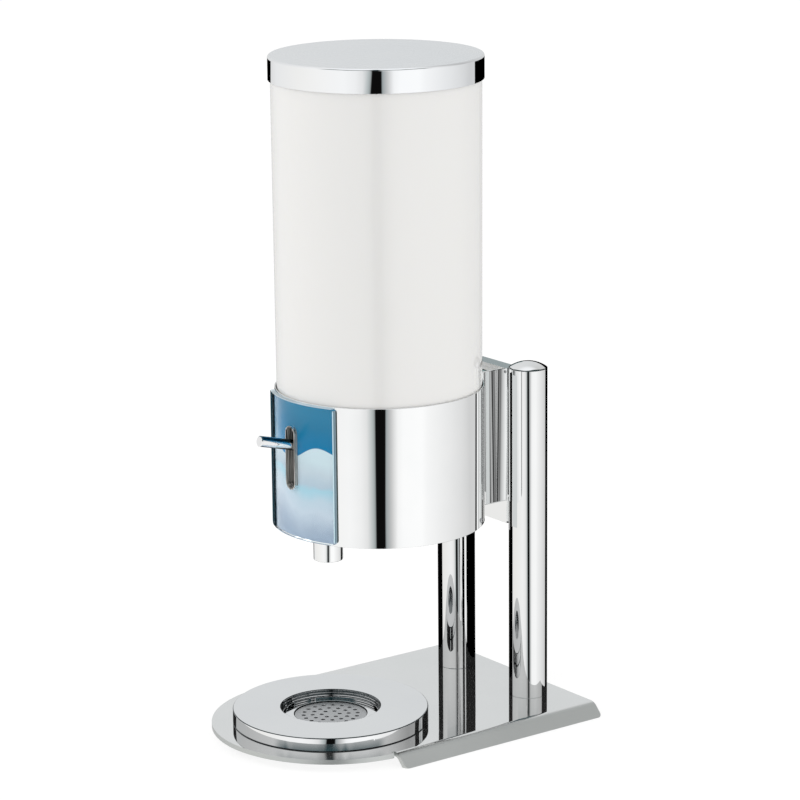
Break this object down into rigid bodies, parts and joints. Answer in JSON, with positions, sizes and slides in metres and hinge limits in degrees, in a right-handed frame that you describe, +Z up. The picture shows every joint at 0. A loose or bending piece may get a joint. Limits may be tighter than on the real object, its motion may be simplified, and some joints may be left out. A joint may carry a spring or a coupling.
{
  "type": "drinks dispenser",
  "caption": "Table-top milk or juice dispenser: opal tank in a chromed housing with press-down lever and spout, on columns over a base with a drip tray.",
  "frame": {"origin": "middle of the base's outline, on the table", "axes": "+Z up, -Y to the front, where the lever and spout are, +X to the object's left as the user faces it from the front, which is the viewer's right"},
  "size_m": [0.2226, 0.295, 0.5558],
  "materials": {
    "polished_steel": "polished sheet, satin on the bends",
    "chrome": "mirror chrome",
    "machined_steel": "turned or stamped, plain",
    "screw_steel": "zinc plated",
    "cast_block": "chromed aluminium block",
    "rubber": "matt",
    "opal_plastic": "glossy opal",
    "clear_acrylic": "clear polished acrylic",
    "printed_foil": "printed blue to white sheet",
    "white_plastic": "moulded, matt",
    "silicone": "translucent food silicone",
    "spring_steel": "drawn wire"
  },
  "bodies": {
    "stand": {"base_plate": "polished_steel", "rubber_feet": "rubber", "column_left": "chrome", "column_right": "chrome", "column_caps": "chrome", "column_plugs": "machined_steel", "column_screws": "screw_steel", "carrier_plate": "chrome", "carrier_studs": "screw_steel", "bracket": "cast_block", "bracket_screws": "screw_steel", "clamp_bar": "machined_steel", "housing_shell": "chrome", "housing_floor": "machined_steel", "deck": "machined_steel", "deck_posts": "machined_steel", "deck_screws": "screw_steel", "floor_screws": "screw_steel", "seat_ring": "white_plastic", "front_panel": "clear_acrylic", "panel_foil": "printed_foil", "slot_liner": "machined_steel", "valve_frame": "machined_steel", "frame_screws": "screw_steel", "anvil_bar": "machined_steel", "pivot_pin": "screw_steel", "pivot_clips": "spring_steel", "return_spring": "spring_steel", "silicone_hose": "silicone", "spout": "chrome", "spout_nut": "machined_steel"},
    "lever": {"lever_hub": "machined_steel", "lever_rod": "chrome", "lever_lock_nut": "screw_steel"},
    "tank": {"tank": "opal_plastic", "outlet_fitting": "white_plastic", "outlet_nut": "white_plastic", "outlet_seal": "rubber"},
    "lid": {"lid": "chrome", "lid_liner": "white_plastic", "ice_tube": "machined_steel"},
    "drip_dish": {"drip_dish": "machined_steel"},
    "drip_cover": {"drip_cover": "chrome"},
    "drip_sieve": {"drip_sieve": "machined_steel"}
  },
  "joints": [
    {"name": "lever_press", "type": "hinge", "parent": "stand", "child": "lever", "pos_m": [0, -0.0379, 0.2371], "axis": [1, 0, 0], "range_deg": [0, 34], "stiffness_Nm_per_rad": 0.35, "springref_deg": -28.65, "deforming": ["return_spring"]},
    {"name": "tank_lift", "type": "slide", "parent": "stand", "child": "tank", "axis": [0, 0, 1], "range_m": [0, 0.06]},
    {"name": "lid_lift", "type": "slide", "parent": "tank", "child": "lid", "axis": [0, 0, 1], "range_m": [0, 0.28]},
    {"name": "tray_lift", "type": "slide", "parent": "stand", "child": "drip_dish", "axis": [0, 0, 1], "range_m": [0, 0.045]},
    {"name": "cover_lift", "type": "slide", "parent": "drip_dish", "child": "drip_cover", "axis": [0, 0, 1], "range_m": [0, 0.03]},
    {"name": "sieve_lift", "type": "slide", "parent": "drip_dish", "child": "drip_sieve", "axis": [0, 0, 1], "range_m": [0, 0.03]}
  ]
}
